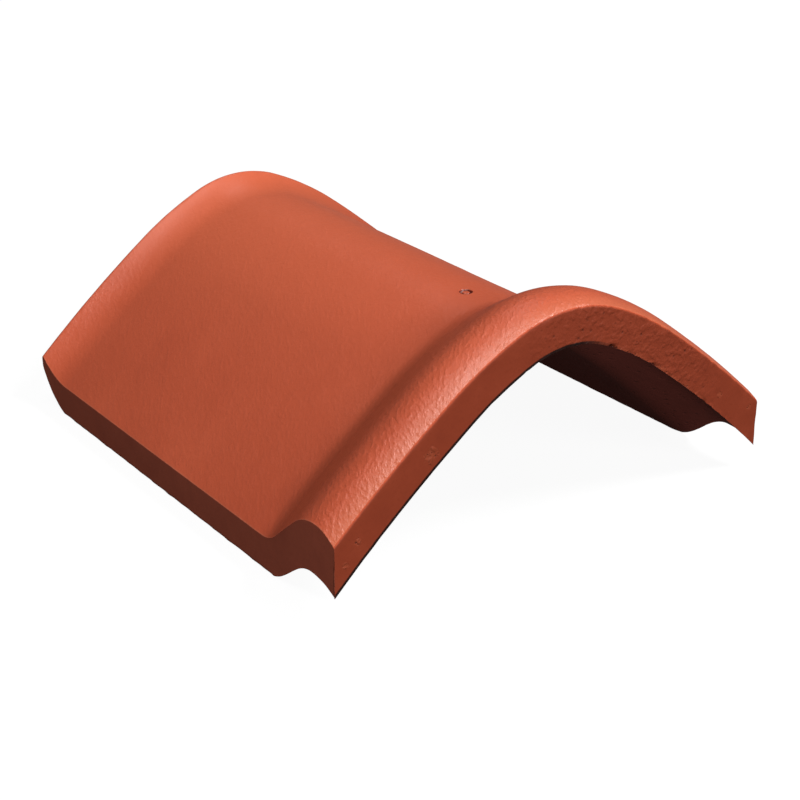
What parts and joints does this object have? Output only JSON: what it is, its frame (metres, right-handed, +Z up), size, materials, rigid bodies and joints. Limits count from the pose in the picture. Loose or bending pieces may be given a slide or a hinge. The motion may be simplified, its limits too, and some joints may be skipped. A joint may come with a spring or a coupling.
{
  "type": "ridge tile",
  "caption": "Arched ridge tile with a raised collar roll over a socket at one end and a flared lip at the other, cut upright at both feet.",
  "frame": {"origin": "on the level the feet stand on, midway between the feet and midway along the ridge", "axes": "+Y along the ridge from the collar end to the flared lip end, +Z up out of the crown, +X to the right foot seen from the collar end"},
  "size_m": [0.25, 0.281, 0.1168],
  "materials": {
    "coated_concrete": "terracotta red coat, satin, slightly pebbled"
  },
  "bodies": {
    "root": {"ridge_tile": "coated_concrete"}
  },
  "joints": []
}
